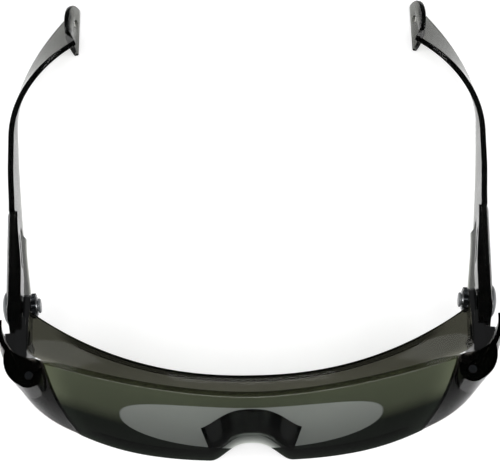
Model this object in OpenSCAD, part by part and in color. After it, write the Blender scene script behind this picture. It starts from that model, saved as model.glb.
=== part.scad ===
// Over-spectacles shaded goggles: wraparound lens, brow guard, side shields and adjustable temples.
// Front faces -Y, the wearer looks along -Y, +Z is up. The goggles stand on the lens rim and the temple tips.

/* [Front] */
// Half width over the side shields
half_w = 80.5; // [72:0.5:88]
// Height of the fold line above the lens's lower edge, at the centre
lens_h = 50; // [42:0.5:56]
// Wall of the lens
lens_wall = 2.2; // [1.6:0.1:3]
// Forward reach of the lens's lower edge, ahead of the hinge pins
reach_low = 16.7; // [12:0.1:22]
// Forward reach of the fold line, ahead of the hinge pins
reach_top = 9.8; // [7:0.1:14]
// Depth of the brow guard at the centre
brow_depth = 6; // [4:0.5:10]
// Half width of the nose arch at its feet
nose_half_w = 14; // [11:0.5:18]
// Height of the nose arch
nose_h = 17; // [12:0.5:22]
// Depth of the nose saddle behind the lens
saddle_depth = 7; // [5:0.5:11]

/* [Hinge] */
// Distance of each fold pin from the middle
pin_x = 69.6; // [66:0.1:72]
// Radius of the fold pin
pin_r = 1.3; // [1.1:0.1:1.6]
// Radius of the link's knuckle around the fold pin
knuckle_r = 2.9; // [2.5:0.1:3.2]
// Thickness of each ear of the lug
ear_t = 2.6; // [2.2:0.1:3.4]
// Height of the link's knuckle between the ears
knuckle_h = 7; // [6:0.1:9]
// Running clearance of a pin in its bore, on the radius
pin_play = 0.05; // [0.02:0.01:0.1]
// Gap between pieces that pass each other
gap = 0.3; // [0.25:0.05:0.4]

/* [Temple] */
// Outward splay of the temples in plan, degrees
splay = 4.3; // [3:0.1:6]
// Distance of the tilt rivet behind the fold pin
rivet_y = 26.2; // [24:0.1:30]
// Radius of the tilt rivet's shank
rivet_r = 1.8; // [1.5:0.1:2.4]
// Radius of the tilt rivet's round head
head_r = 5.2; // [4.5:0.1:6.5]
// Thickness of the temple sleeve around the rivet
sleeve_t = 5; // [4.6:0.1:6.5]
// Length of the sleeve behind the rivet
sleeve_len = 34; // [30:1:40]
// Width of the arm's tongue that slides in the sleeve
tongue_t = 1.4; // [1.2:0.1:1.8]
// Height of the arm's tongue
tongue_h = 4.6; // [4:0.1:5]
// Travel of the length adjustment
travel = 10; // [6:1:12]
// Thickness of the arm's blade
blade_t = 2; // [1.8:0.1:2.6]
// Length of the arm's straight blade behind the sleeve
straight_len = 33; // [28:1:40]
// Radius of the arm's inward bend
bend_r = 52; // [44:1:60]
// Turn of the arm's inward bend, degrees
bend_turn = 53; // [42:1:56]
// Length of the end tab
tab_len = 20; // [17:0.5:24]
// Height of the end tab
tab_h = 11; // [9:0.5:13]
// Thickness of the end tab
tab_t = 1.8; // [1.5:0.1:2.4]
// Radius of the lanyard hole
lanyard_r = 1.5; // [1.2:0.1:2]

/* [Hidden] */
$fn = 48;

// ---- places worked out from the sizes above ----
seam_top = pin_x - 4.3;                 // lens's lateral edge at the fold line
seam_low = half_w - 23;                 // lens's lateral edge at the lower rim
seam_z = 2.5;                           // height of the lower rim at the lens's lateral edge
fold_fall = 13;                         // drop of the fold line from the centre to half_w
top_sweep = 21;                         // rearward sweep of the fold line at half_w
pin_y = 1.2;                            // fold pin behind the plane that the plan is measured from
low_sweep = 22.4;                       // rearward sweep of the lower edge at half_w
bulge = 1;                              // forward bulge of the lens between its edges
rim_t = 1.2;                            // extra wall of the lower rim
seam_play = 0.1;                        // joint line between pieces of the front
seam_bow = 1.2;                         // outward bow of the joint between lens and side shield
lug_top = fold_z(pin_x) + 1.2;          // top face of the hinge lug
ear_r = pin_x - seam_top - seam_play;   // rounded inner end of the lug
knuckle_top = lug_top - ear_t - gap;
knuckle_low = knuckle_top - knuckle_h;
lug_low = knuckle_low - gap - ear_t;
block_top = lug_top - 1.8;              // top of the link behind the lug
rivet_x = half_w - 1.7;                 // outer face of the sleeve at the tilt rivet
rivet_z = 31.3;                         // height of the tilt rivet
front_r = 13.5;                         // rounded front end of the sleeve
sleeve_top = 7.6;                       // top of the sleeve above the rivet
sleeve_low = -12.5;                     // bottom of the sleeve below the rivet
shank_play = 0.02;                      // a shank fixed in its own hole
link_ear_t = 2.2;                       // the link's inner ear
link_ear_r = rivet_r + 2.2;
disc_t = 1.3;                           // ratchet disc
disc_r = rivet_r + 2.4;
disc_teeth = 18;
spring_t = 0.3;                         // click spring
tail_t = 0.7;                           // upset end of the tilt rivet
ear_x = -sleeve_t - gap;                // outer face of the link's inner ear
disc_x = ear_x - link_ear_t - gap;      // outer face of the ratchet disc
spring_x = disc_x - disc_t - 0.1;
tail_x = spring_x - spring_t - 0.1;
beam_end_t = 3.6;                       // sleeve's top beam at its rear end
tongue_x = -beam_end_t / 2;             // middle of the tongue
tongue_z = 4.2;                           // middle of the tongue's height
tongue_len = 24;
stop_l = 3;                             // length stop along the tongue
stop_y = sleeve_len - tongue_len + 3;
blade_y = sleeve_len + gap;             // front end of the blade, with the arm pushed home
blade_low = -9;                         // lower edge of the blade at the sleeve, from the rivet
blade_in = 1.4;                         // lower edge of the blade at the sleeve, inside the rivet's face
flare = 19;                             // reach of the blade's lower edge past its upper edge
bend_y = blade_y + straight_len;        // where the inward bend starts
end_x = -bend_r * (1 - cos(bend_turn + splay));
end_y = bend_y + bend_r * sin(bend_turn + splay);
path_len = straight_len + bend_r * (bend_turn + splay) * PI / 180;
tab_lean = 17;                          // lean of the tab, top outwards
tab_x = end_x + 1.6;                    // tab's lower front corner, from the rivet
tab_y = end_y + 5;
tab_drop = 6.3;
slope = asin(rivet_z / norm([tab_drop, tab_y])) - atan2(tab_drop, tab_y);
tab_low = (tab_y * cos(slope) - tab_drop * sin(slope)) * cos(splay) + tab_x * -sin(splay);
rear_reach = pin_y + rivet_y + tab_low + tab_len;
centre_y = -(low_y(nose_half_w) + rear_reach) / 2; // moves the middle of the whole to Y = 0

function smooth(v, a, b) = let(t = min(1, max(0, (v - a) / (b - a)))) t * t * (3 - 2 * t);
function mix(p, q, t) = p + (q - p) * t;

// Height of the fold line over the plan
function fold_z(x) = lens_h - fold_fall * pow(abs(x) / half_w, 2.2);
// Plan of the fold line and of the lens's lower edge
function fold_y(x) = -reach_top + top_sweep * pow(abs(x) / half_w, 1.8);
function low_y(x) = -reach_low + low_sweep * pow(abs(x) / half_w, 2.7);
function low_z(x) = seam_z * pow(max(0, (abs(x) - 35) / (seam_low - 35)), 2);
// Nose arch, 1 at its crown and 0 at its feet
function arch(t) = (1 + cos(180 * pow(min(1, abs(t)), 1.25))) / 2;

// A point of the lens's outer face: u runs -1 to 1 across, v runs 0 to 1 up
function lens_point(u, v) =
    let(
        low = [u * seam_low, low_y(u * seam_low), low_z(u * seam_low)],
        top = [u * seam_top, fold_y(u * seam_top), fold_z(u * seam_top)],
        start = nose_h * arch(u * seam_low / nose_half_w) / lens_h,
        h = start + (1 - start) * v
    ) mix(low, top, h) + [u * seam_bow, -bulge, 0] * sin(180 * h);
// Inward direction of the lens at that point, in plan
function lens_inward(u, v) =
    let(d = lens_point(u + 0.01, v) - lens_point(u - 0.01, v))
    [-d.y, d.x, 0] / norm([d.y, d.x]);
function lens_thick(u, v) =
    (lens_wall + rim_t * (1 - smooth(v, 0.03, 0.09)) * (1 - smooth(abs(u), 0.85, 1)))
    * (1 - 0.4 * smooth(abs(u), 0.9, 1));

// Closed sheet between two grids of points, rows along the piece and columns across it
module sheet(face, back) {
    n = len(face);
    m = len(face[0]);
    points = concat([for (r = face) each r], [for (r = back) each r]);
    o = n * m;
    faces = concat(
        [for (i = [0:n - 2], j = [0:m - 2]) let(a = i * m + j, b = a + m, c = b + 1, d = a + 1)
            each [[a, d, c], [a, c, b], [o + a, o + c, o + d], [o + a, o + b, o + c]]],
        [for (i = [0:n - 2]) let(a = i * m, b = a + m) each [[a, b, o + b], [a, o + b, o + a]]],
        [for (i = [0:n - 2]) let(d = i * m + m - 1, c = d + m) each [[c, d, o + d], [c, o + d, o + c]]],
        [for (j = [0:m - 2]) let(a = j, d = j + 1) each [[d, a, o + a], [d, o + a, o + d]]],
        [for (j = [0:m - 2]) let(b = (n - 1) * m + j, c = b + 1) each [[b, c, o + c], [b, o + c, o + b]]]
    );
    polyhedron(points, faces);
}

module place() { translate([0, centre_y, 0]) children(); }
module left() { mirror([1, 0, 0]) children(); }
// Frame of the right temple: origin on the tilt rivet, x outwards, y along the temple, z up
module temple_frame() {
    translate([rivet_x, pin_y + rivet_y, rivet_z]) rotate([0, 0, -splay]) rotate([-slope, 0, 0]) children();
}
// Cylinder along the temple frame's x, from x0 to x1
module across(r, x0, x1) { translate([x0, 0, 0]) rotate([0, 90, 0]) cylinder(r = r, h = x1 - x0); }

// ---- front ----
lens_u = [for (t = [-22:22]) let(k = t / 22) k * (0.5 + 0.5 * k * k)];
lens_v = [0, 0.03, 0.06, 0.09, 0.2, 0.35, 0.5, 0.65, 0.8, 0.92, 1];

module lens() {
    color("darkslategray") place() sheet(
        [for (u = lens_u) [for (v = lens_v) lens_point(u, v)]],
        [for (u = lens_u) [for (v = lens_v) lens_point(u, v) + lens_thick(u, v) * lens_inward(u, v)]]
    );
}

// Rear edge of the brow guard over the plan
brow_t = 2;
lip_t = 1;
brow_rise = 3;
function brow_rear(x) = -reach_top + brow_depth + 21.5 * pow(abs(x) / 64.3, 2.2);
brow_out = 4;                           // reach of the guard's rear corners past the lens
function brow_point(e, v, under) =
    let(
        x = e * (seam_top + brow_out * smooth(v, 0.05, 0.35)),
        z = fold_z(x) + 1 + brow_rise * (1 - 0.5 * pow(x / seam_top, 2)) * sin(90 * v),
        t = 0.9 + (brow_t - 0.9) * smooth(v, 0, 0.3) + lip_t * smooth(v, 0.75, 0.9) * (1 - smooth(abs(e), 0.75, 0.9))
    )
    [x, mix(fold_y(x), brow_rear(x), v), z - (under ? t : 0)];

module brow_guard() {
    es = [for (k = [-16:16]) k / 16];
    vs = [0, 0.08, 0.18, 0.3, 0.5, 0.7, 0.85, 0.93, 1];
    color("darkolivegreen") place() sheet(
        [for (e = es) [for (v = vs) brow_point(e, v, false)]],
        [for (e = es) [for (v = vs) brow_point(e, v, true)]]
    );
}

// Saddle behind the nose arch
saddle_t = 2.2;
saddle_flare = 0.2;
function arch_point(s) = [nose_half_w * s, nose_h * arch(s)];
function arch_out(s) = let(d = arch_point(s + 0.01) - arch_point(s - 0.01)) [-d.y, d.x] / norm(d);
function saddle_point(s, w, out) =
    let(
        p = arch_point(s) + out * arch_out(s),
        y = low_y(p.x) + (reach_low - reach_top) * p.y / lens_h - bulge * sin(180 * p.y / lens_h)
    )
    [p.x * (1 + saddle_flare * w), y + lens_wall + rim_t + seam_play + saddle_depth * w, max(0.6, p.y + 1.5 * w)];

module nose_bridge() {
    ss = [for (k = [-12:12]) k / 12 * 0.94];
    ws = [0, 0.25, 0.5, 0.75, 1];
    color("black") place() sheet(
        [for (s = ss) [for (w = ws) saddle_point(s, w, saddle_t)]],
        [for (s = ss) [for (w = ws) saddle_point(s, w, 0)]]
    );
}

// Side shield: a wall from the lens's lateral edge round the corner, with the hinge lug moulded on
shield_rear = 18;                       // rear end of the wall behind the fold pin
shield_low_z = 24;                      // height of the wall's lower edge at its rear end
shield_wall = 2;
function shield_low(t) = let(p = lens_point(1, 0)) [
    mix(p.x, half_w, sin(90 * t)),
    mix(p.y, shield_rear, 1 - cos(90 * t)) + 2.2 * sin(180 * pow(t, 0.7)),
    p.z + (shield_low_z - p.z) * pow(t, 1.3)
];
function shield_top(t) = let(p = lens_point(1, 1)) [
    mix(p.x, half_w, pow(sin(90 * t), 0.83)),
    mix(p.y, shield_rear + 2, 1 - pow(cos(90 * t), 0.83)),
    p.z + (lug_top - 0.8 - p.z) * t
];
function shield_point(t, v) =
    mix(shield_low(t), shield_top(t), v) + seam_play * (1 - t) * [0.9, 0.4, 0]
    + sin(180 * v) * ([seam_bow, -bulge, 0] * (1 - t) + [bulge, 0, 0] * t);
function shield_inward(t, v) =
    let(
        d = shield_point(min(1, t + 0.03), v) - shield_point(max(0, t - 0.03), v),
        n = mix(lens_inward(1, v), [-d.y, d.x, 0] / norm([d.y, d.x]), smooth(t, 0, 0.16))
    ) n / norm(n);
function shield_thick(t) = mix(0.6 * lens_wall, mix(shield_wall, 1.4, t), smooth(t, 0, 0.1));

module shield_sheet() {
    ts = [0, 0.06, 0.14, 0.24, 0.34, 0.44, 0.54, 0.64, 0.74, 0.84, 0.92, 1];
    vs = [0, 0.08, 0.2, 0.35, 0.5, 0.65, 0.8, 0.92, 1];
    sheet(
        [for (t = ts) [for (v = vs) shield_point(t, v)]],
        [for (t = ts) [for (v = vs) shield_point(t, v) + shield_thick(t) * shield_inward(t, v)]]
    );
}

// Lug around the fold pin: its front at an angle about the pin and a height k, and its rear S-curve
function lug_front(a, k) =
    let(taper = 0.5 * smooth(a, -180, -120) + 0.9 * sin(180 * smooth(a, -50, 50)))
    (ear_r + 7.1 * pow(max(0, (a + 60) / 105), 2) - (taper - 1.3 * smooth(a, 15, 45)) * (1 - k))
    * [cos(a), sin(a)];
function lug_rear(t) = [
    9.1 * t - 1.3,
    ear_r + 1.35 * (1 - pow(1 - min(1, 2.2 * t), 2)) + 3.6 * pow(max(0, 2 * t - 1), 2.2)
];
module lug() {
    n = 16;
    ks = [0, 0.25, 0.5, 0.75, 1];
    translate([pin_x, pin_y, lug_low]) sheet(
        [for (i = [0:n]) [for (k = ks) concat(lug_front(45 - 288 * (1 - i / n), k), k * (lug_top - lug_low))]],
        [for (i = [0:n]) [for (k = ks)
            concat(lug_rear(i / n) + [0.7 * (1 - k) * smooth(i / n, 0.75, 1), 0], k * (lug_top - lug_low))]]
    );
}
// Space that the link's neck sweeps as the temple folds, from the pin
fold_max = 70;
module neck_sweep() {
    far = 26;
    circle(r = knuckle_r + gap);
    polygon([
        [0, 0], far * [-sin(fold_max + 4), cos(fold_max + 4)], [-8, far], [6.6, far], [6.6, 8.6],
        [4.4, 4.4], [knuckle_r, 0.4]
    ]);
}

// Space over the lug's rear S-curve that stays open to the swinging link
module behind_lug() {
    polygon(concat(
        [for (i = [0:16]) lug_rear(i / 16)],
        [[7.4, 20], [-20, 20], [-20, 4.2], [-ear_r, 2]]
    ));
}
module side_shield() {
    difference() {
        union() {
            shield_sheet();
            lug();
        }
        translate([pin_x, pin_y, knuckle_low - gap])
            linear_extrude(knuckle_top - knuckle_low + 2 * gap) neck_sweep();
        translate([pin_x, pin_y, knuckle_top + 0.1]) linear_extrude(lens_h) behind_lug();
        translate([pin_x, pin_y, lug_low - 1]) cylinder(r = pin_r + shank_play, h = lug_top - lug_low + 2);
        translate([pin_x, pin_y, lug_top - 0.7]) cylinder(r = pin_r + 0.8, h = 2);
    }
}
module side_shield_left() { color("darkslategray") place() left() side_shield(); }
module side_shield_right() { color("darkslategray") place() side_shield(); }

module hinge_pin() {
    translate([pin_x, pin_y, lug_low + 0.2]) cylinder(r = pin_r, h = lug_top - lug_low - 0.5);
}
module hinge_pin_left() { color("dimgray") place() left() hinge_pin(); }
module hinge_pin_right() { color("dimgray") place() hinge_pin(); }

// ---- hinge link ----
// Neck between the lug's ears, from the pin
module neck_plan() {
    difference() {
        union() {
            circle(r = knuckle_r);
            polygon([[0.2, 0], [knuckle_r, 0.6], [3.6, 4.6], [5, 9], [5, 14], [2.2, 14], [2.2, 5.4], [1, 2.4]]);
        }
        circle(r = pin_r + pin_play);
    }
}
// Block behind the lug, which follows its rear S-curve at the gap
module block_plan() {
    polygon(concat(
        [for (i = [4:12]) let(t = i / 16) lug_rear(t) + 1.15 * gap * [-sin(60 * t * t), cos(60 * t * t)]],
        [[5.3, 8.8], [5, 20], [2.2, 20]]
    ));
}
module hinge_link() {
    difference() {
        union() {
            translate([pin_x, pin_y, knuckle_low]) linear_extrude(knuckle_h) neck_plan();
            translate([pin_x, pin_y, lug_low + 1]) linear_extrude(block_top - lug_low - 1) block_plan();
        }
        temple_frame() across(front_r + gap + 0.1, ear_x, 6);
        temple_frame() translate([ear_x - 12, -front_r, -20]) cube([12 - link_ear_t, 2 * front_r, 40]);
    }
    temple_frame() difference() {
        union() {
            across(link_ear_r, ear_x - link_ear_t, ear_x);
            translate([ear_x - link_ear_t, -front_r, -link_ear_r]) cube([link_ear_t, front_r, 2 * link_ear_r]);
        }
        across(rivet_r + pin_play, ear_x - link_ear_t - 1, ear_x + 1);
    }
}
module hinge_link_left() { color("black") place() left() hinge_link(); }
module hinge_link_right() { color("black") place() hinge_link(); }

// ---- temple sleeve ----
function beam_t(y) = mix(sleeve_t, beam_end_t, smooth(y, 8, sleeve_len));
function sleeve_bottom(y) = mix(sleeve_low, -9, smooth(y, 5, sleeve_len));
function sleeve_crest(y) = sleeve_top - 2.6 * smooth(-y, -1, 11);
function sleeve_out(y, z) =
    -0.9 * smooth(z, 5, sleeve_top) - 4 * pow(min(1, max(0, (0.5 - z) / 13)), 1.5) - 1.2 * smooth(-y, 4, 13);
function sleeve_in(y, z) = mix(sleeve_out(y, z) - 1.8, -beam_t(y), smooth(z, -1.5, 1));

module sleeve_body() {
    ys = [0, 0.08, 0.2, 0.32, 0.45, 0.6, 0.75, 0.88, 1];
    ks = [0, 0.14, 0.28, 0.42, 0.5, 0.6, 0.7, 0.84, 0.93, 1];
    function at(i, k) =
        let(
            z0 = mix(sleeve_low, sleeve_crest(-front_r), k),
            y = mix(-sqrt(front_r * front_r - z0 * z0), sleeve_len, i),
            z = mix(sleeve_bottom(y), sleeve_crest(y), k)
        ) [y, z];
    sheet(
        [for (i = ys) [for (k = ks) let(p = at(i, k)) [sleeve_out(p.x, p.y), p.x, p.y]]],
        [for (i = ys) [for (k = ks) let(p = at(i, k)) [sleeve_in(p.x, p.y), p.x, p.y]]]
    );
}
module temple_sleeve() {
    temple_frame() difference() {
        union() {
            sleeve_body();
            across(link_ear_r + 1, -sleeve_t, -0.9);
        }
        across(rivet_r + shank_play, -sleeve_t - 4, 4);
        translate([tongue_x - tongue_t / 2 - gap, stop_y - 4, tongue_z - tongue_h / 2 - gap])
            cube([tongue_t + 2 * gap, sleeve_len, tongue_h + 2 * gap]);
        translate([tongue_x - 8, stop_y - gap, tongue_z - 1 - gap])
            cube([8, stop_l + travel + 2 * gap, 2 + 2 * gap]);
    }
}
module temple_sleeve_left() { color("black") place() left() temple_sleeve(); }
module temple_sleeve_right() { color("black") place() temple_sleeve(); }

module tilt_rivet() {
    temple_frame() {
        across(rivet_r, tail_x, 0.4);
        across(rivet_r + 0.6, tail_x - tail_t, tail_x);
        translate([0.1, 0, 0]) rotate([0, 90, 0]) rotate_extrude()
            polygon([[0, 0], [head_r, 0], [head_r, 0.4], [head_r * 0.8, 1.1], [head_r * 0.45, 1.5], [0, 1.6]]);
    }
}
module tilt_rivet_left() { color("gray") place() left() tilt_rivet(); }
module tilt_rivet_right() { color("gray") place() tilt_rivet(); }

module ratchet_disc() {
    temple_frame() difference() {
        across(disc_r, disc_x - disc_t, disc_x);
        across(rivet_r + shank_play, disc_x - disc_t - 1, disc_x + 1);
        for (k = [0:disc_teeth - 1]) rotate([360 * k / disc_teeth, 0, 0])
            translate([disc_x - disc_t - 1, disc_r, 0]) rotate([45, 0, 0])
                translate([0, -0.4, -0.4]) cube([disc_t + 2, 0.8, 0.8]);
    }
}
module ratchet_disc_left() { color("darkgray") place() left() ratchet_disc(); }
module ratchet_disc_right() { color("darkgray") place() ratchet_disc(); }

module click_spring() {
    temple_frame() difference() {
        across(rivet_r + 1.3, spring_x - spring_t, spring_x);
        across(rivet_r + shank_play, spring_x - spring_t - 1, spring_x + 1);
    }
}
module click_spring_left() { color("silver") place() left() click_spring(); }
module click_spring_right() { color("silver") place() click_spring(); }

// ---- temple arm ----
// Plan point, outward normal and lean at distance s along the blade, in the temple frame
function path_turn(s) = max(0, s - straight_len) / bend_r * 180 / PI;
function path_point(s) = let(a = path_turn(s)) [
    -bend_r * (1 - cos(a)),
    blade_y + min(s, straight_len) + bend_r * sin(a)
];
// Lower edge of the blade's outer face: it bows past the upper edge and reaches further back
function blade_foot(s) =
    let(
        r = s / path_len,
        y = path_point(s).y + flare * pow(smooth(r, 0.3, 1.25) / smooth(1, 0.3, 1.25), 1.5),
        w = y - bend_y - 14,
        front = blade_y - bend_y - 14
    ) [
        w < 0 ? -blade_in * pow(w / front, 2) : -0.0733 * w - w * w / 152.5,
        y,
        mix(blade_low, -1.6, smooth(r, -0.1, 0.65)) + 0.9 * r
    ];
function blade_crest(s) = let(p = path_point(s)) [p.x - 0.6 * (1 - smooth(s, 0, 20)), p.y, sleeve_top];
function blade_point(s, k, side) =
    let(
        a = path_turn(s),
        p = mix(blade_crest(s), blade_foot(s), k),
        n = cross(blade_crest(min(path_len, s + 1)) - blade_crest(max(0, s - 1)), blade_crest(s) - blade_foot(s))
    ) p - (side * blade_t) * n / norm(n);

module blade() {
    ss = concat([for (i = [0:5]) straight_len * i / 6], [for (i = [0:12]) mix(straight_len, path_len, i / 12)]);
    ks = [0, 0.1, 0.3, 0.5, 0.7, 0.9, 1];
    sheet(
        [for (s = ss) [for (k = ks) blade_point(s, 1 - k, 0)]],
        [for (s = ss) [for (k = ks) blade_point(s, 1 - k, 1)]]
    );
}
// End tab: straight lower edge and a bowed upper edge, leaning outwards at the top
module tab_frame() {
    translate([tab_x, tab_y, -tab_drop]) rotate([slope, 0, 0]) rotate([0, 0, splay]) rotate([0, tab_lean, 0]) children();
}
module tab() {
    tab_frame() rotate([90, 0, 90]) translate([0, 0, -tab_t]) linear_extrude(tab_t) tab_plan();
}
module tab_plan() {
    polygon([for (a = [0:10:180]) [tab_len / 2 - (tab_len / 2) * cos(a), tab_h * pow(sin(a), 0.8)]]);
}
module temple_arm() {
    temple_frame() {
        difference() {
            union() {
                blade();
                tab();
            }
            tab_frame() translate([-3, tab_len * 0.6, 3.4]) rotate([0, 90, 0]) cylinder(r = lanyard_r, h = 5);
        }
        translate([tongue_x - tongue_t / 2, sleeve_len - tongue_len, tongue_z - tongue_h / 2])
            cube([tongue_t, tongue_len + 4, tongue_h]);
    }
}
module temple_arm_left() { color("dimgray") place() left() temple_arm(); }
module temple_arm_right() { color("dimgray") place() temple_arm(); }

module length_stop() {
    temple_frame() translate([tongue_x - beam_end_t / 2, stop_y, tongue_z - 1])
        cube([beam_end_t / 2 - tongue_t / 2, stop_l, 2]);
}
module length_stop_left() { color("silver") place() left() length_stop(); }
module length_stop_right() { color("silver") place() length_stop(); }

lens();
brow_guard();
nose_bridge();
side_shield_left();
side_shield_right();
hinge_pin_left();
hinge_pin_right();
hinge_link_left();
hinge_link_right();
temple_sleeve_left();
temple_sleeve_right();
tilt_rivet_left();
tilt_rivet_right();
ratchet_disc_left();
ratchet_disc_right();
click_spring_left();
click_spring_right();
temple_arm_left();
temple_arm_right();
length_stop_left();
length_stop_right();
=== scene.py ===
"""Visual model of over-spectacles shaded welding goggles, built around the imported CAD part."""
import logging
import math
from contextlib import contextmanager
from dataclasses import dataclass, field
from enum import Enum
from typing import Callable, Iterator, Sequence

import bmesh
import bpy
from mathutils import Matrix, Vector


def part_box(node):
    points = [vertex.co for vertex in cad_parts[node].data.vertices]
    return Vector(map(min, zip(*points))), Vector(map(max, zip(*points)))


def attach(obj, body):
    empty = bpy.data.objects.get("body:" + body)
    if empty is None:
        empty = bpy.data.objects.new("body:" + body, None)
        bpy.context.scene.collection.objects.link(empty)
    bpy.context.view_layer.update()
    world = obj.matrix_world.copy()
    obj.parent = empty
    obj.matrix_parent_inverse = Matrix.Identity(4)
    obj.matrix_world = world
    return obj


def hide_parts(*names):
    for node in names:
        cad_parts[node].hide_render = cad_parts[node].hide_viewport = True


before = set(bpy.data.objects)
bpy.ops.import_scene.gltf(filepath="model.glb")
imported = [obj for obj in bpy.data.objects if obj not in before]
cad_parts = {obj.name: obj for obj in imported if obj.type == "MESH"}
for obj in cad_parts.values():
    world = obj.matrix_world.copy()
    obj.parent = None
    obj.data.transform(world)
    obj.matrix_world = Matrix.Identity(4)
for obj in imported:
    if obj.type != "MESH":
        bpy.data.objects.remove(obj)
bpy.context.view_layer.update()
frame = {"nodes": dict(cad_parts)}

LOG = logging.getLogger("goggles")
MM = 0.001
MERGE = 1e-6  # points closer than this are one, metres
Grid = list[list[Vector]]


class Side(Enum):
    """The two mirrored halves of the goggles."""

    LEFT = -1
    RIGHT = 1

    @property
    def label(self) -> str:
        """The side's name as the CAD nodes and bodies spell it."""
        return self.name.lower()


class Surface(Enum):
    """How a moulded or turned surface was finished."""

    POLISHED = 0.035
    GLOSSY = 0.10
    SATIN = 0.32
    TURNED = 0.28


# ---------------------------------------------------------------- small rules
def smooth(v: float, a: float, b: float) -> float:
    """Smooth step of v from a to b.

    Args:
        v: The value.
        a: Where the step starts.
        b: Where the step ends.

    Returns:
        0 before a, 1 after b.
    """
    t = min(1.0, max(0.0, (v - a) / (b - a)))
    return t * t * (3 - 2 * t)


def mix(p, q, t: float):
    """Linear blend of two numbers or vectors.

    Args:
        p: The value at t = 0.
        q: The value at t = 1.
        t: The share of q.

    Returns:
        The blend.
    """
    return p + (q - p) * t


def sin_deg(a: float) -> float:
    """Sine of an angle in degrees."""
    return math.sin(math.radians(a))


def cos_deg(a: float) -> float:
    """Cosine of an angle in degrees."""
    return math.cos(math.radians(a))


def span(a: float, b: float, n: int) -> list[float]:
    """Evenly spaced values.

    Args:
        a: The first value.
        b: The last value.
        n: How many.

    Returns:
        The list of n values.
    """
    return [mix(a, b, i / (n - 1)) for i in range(n)]


def eased(n: int, ends: float = 0.35) -> list[float]:
    """Values from 0 to 1 that lie closer together near both ends.

    Args:
        n: How many.
        ends: How strongly they crowd at the ends.

    Returns:
        The list of n values.
    """
    return [mix(t, (1 - math.cos(math.pi * t)) / 2, ends) for t in span(0, 1, n)]


def linear(code: str) -> tuple[float, float, float, float]:
    """Turns an sRGB hex colour to linear.

    Args:
        code: Six hex digits.

    Returns:
        Red, green, blue and alpha, linear.
    """
    def channel(c: float) -> float:
        """One channel to linear."""
        return c / 12.92 if c <= 0.04045 else ((c + 0.055) / 1.055) ** 2.4

    r, g, b = (channel(int(code[i:i + 2], 16) / 255) for i in (0, 2, 4))
    return r, g, b, 1.0


# ---------------------------------------------------------------- node helper
def add_node(tree: bpy.types.NodeTree, kind: str, settings: dict | None = None,
             values: dict | None = None, links: dict | None = None) -> bpy.types.Node:
    """Adds one node with its settings, values and incoming links.

    Args:
        tree: The node tree.
        kind: The node's type name.
        settings: Attributes of the node.
        values: Values by input name or number.
        links: Output sockets by input name or number.

    Returns:
        The node.
    """
    node = tree.nodes.new(kind)
    for name, value in (settings or {}).items():
        setattr(node, name, value)
    for name, value in (values or {}).items():
        node.inputs[name].default_value = value
    for name, socket in (links or {}).items():
        tree.links.new(socket, node.inputs[name])
    return node


def maths(tree: bpy.types.NodeTree, operation: str, first: bpy.types.NodeSocket | float,
          second: bpy.types.NodeSocket | float | None = None) -> bpy.types.NodeSocket:
    """Adds one Math node.

    Args:
        tree: The node tree.
        operation: The node's operation.
        first: Its first value, a socket or a number.
        second: Its second value, if it has one.

    Returns:
        The result's socket.
    """
    node = add_node(tree, "ShaderNodeMath", {"operation": operation})
    for i, value in enumerate((first, second)):
        if isinstance(value, bpy.types.NodeSocket):
            tree.links.new(value, node.inputs[i])
        elif value is not None:
            node.inputs[i].default_value = value
    return node.outputs[0]


# ------------------------------------------------------------------- finishes
@dataclass(frozen=True)
class Finish:
    """A material of the goggles: its colours, gloss and the small marks on its surface."""

    name: str
    colour: str
    second: str
    surface: Surface
    ior: float = 1.5
    metallic: float = 0.0
    mirror: float = 1.0
    mottle_mm: float = 14.0
    bump: float = 0.02
    scratch: float = 0.05

    def shader(self, material: bpy.types.Material) -> bpy.types.Node:
        """Builds colour, roughness and bump for the principled shader.

        Args:
            material: The material to fill.

        Returns:
            The principled node.
        """
        tree = material.node_tree
        tree.nodes.clear()
        out = add_node(tree, "ShaderNodeOutputMaterial")
        place = add_node(tree, "ShaderNodeTexCoord")
        flow = add_node(tree, "ShaderNodeTexNoise",
                        values={"Scale": 1 / (self.mottle_mm * MM), "Detail": 3.0, "Roughness": 0.5},
                        links={"Vector": place.outputs["Object"]})
        tint = add_node(tree, "ShaderNodeMix", {"data_type": "RGBA"},
                        {"A": linear(self.colour), "B": linear(self.second)},
                        {"Factor": flow.outputs["Fac"]})
        # hairline scratches, drawn about 0.3 mm wide so that they show
        hair = add_node(tree, "ShaderNodeMapping", values={"Scale": (400.0, 2600.0, 900.0),
                                                           "Rotation": (0.2, 0.4, 0.5)},
                        links={"Vector": place.outputs["Object"]})
        lines = add_node(tree, "ShaderNodeTexNoise", values={"Scale": 1.0, "Detail": 2.0},
                         links={"Vector": hair.outputs[0]})
        level = self.surface.value
        gloss = add_node(tree, "ShaderNodeMapRange",
                         values={"From Min": 0.35, "From Max": 0.75, "To Min": level,
                                 "To Max": level + self.scratch},
                         links={"Value": lines.outputs["Fac"]})
        bump = add_node(tree, "ShaderNodeBump", values={"Strength": self.bump, "Distance": 0.0004},
                        links={"Height": flow.outputs["Fac"]})
        shader = add_node(tree, "ShaderNodeBsdfPrincipled",
                          values={"IOR": self.ior, "Metallic": self.metallic},
                          links={"Base Color": tint.outputs[2], "Roughness": gloss.outputs[0],
                                 "Normal": bump.outputs[0]})
        shader.inputs["Specular Tint"].default_value = (self.mirror,) * 3 + (1.0,)
        tree.links.new(shader.outputs[0], out.inputs["Surface"])
        return shader

    def build(self) -> bpy.types.Material:
        """Makes the material.

        Returns:
            The new material.
        """
        material = bpy.data.materials.new(self.name)
        material.use_nodes = True
        self.shader(material)
        return material


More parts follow.
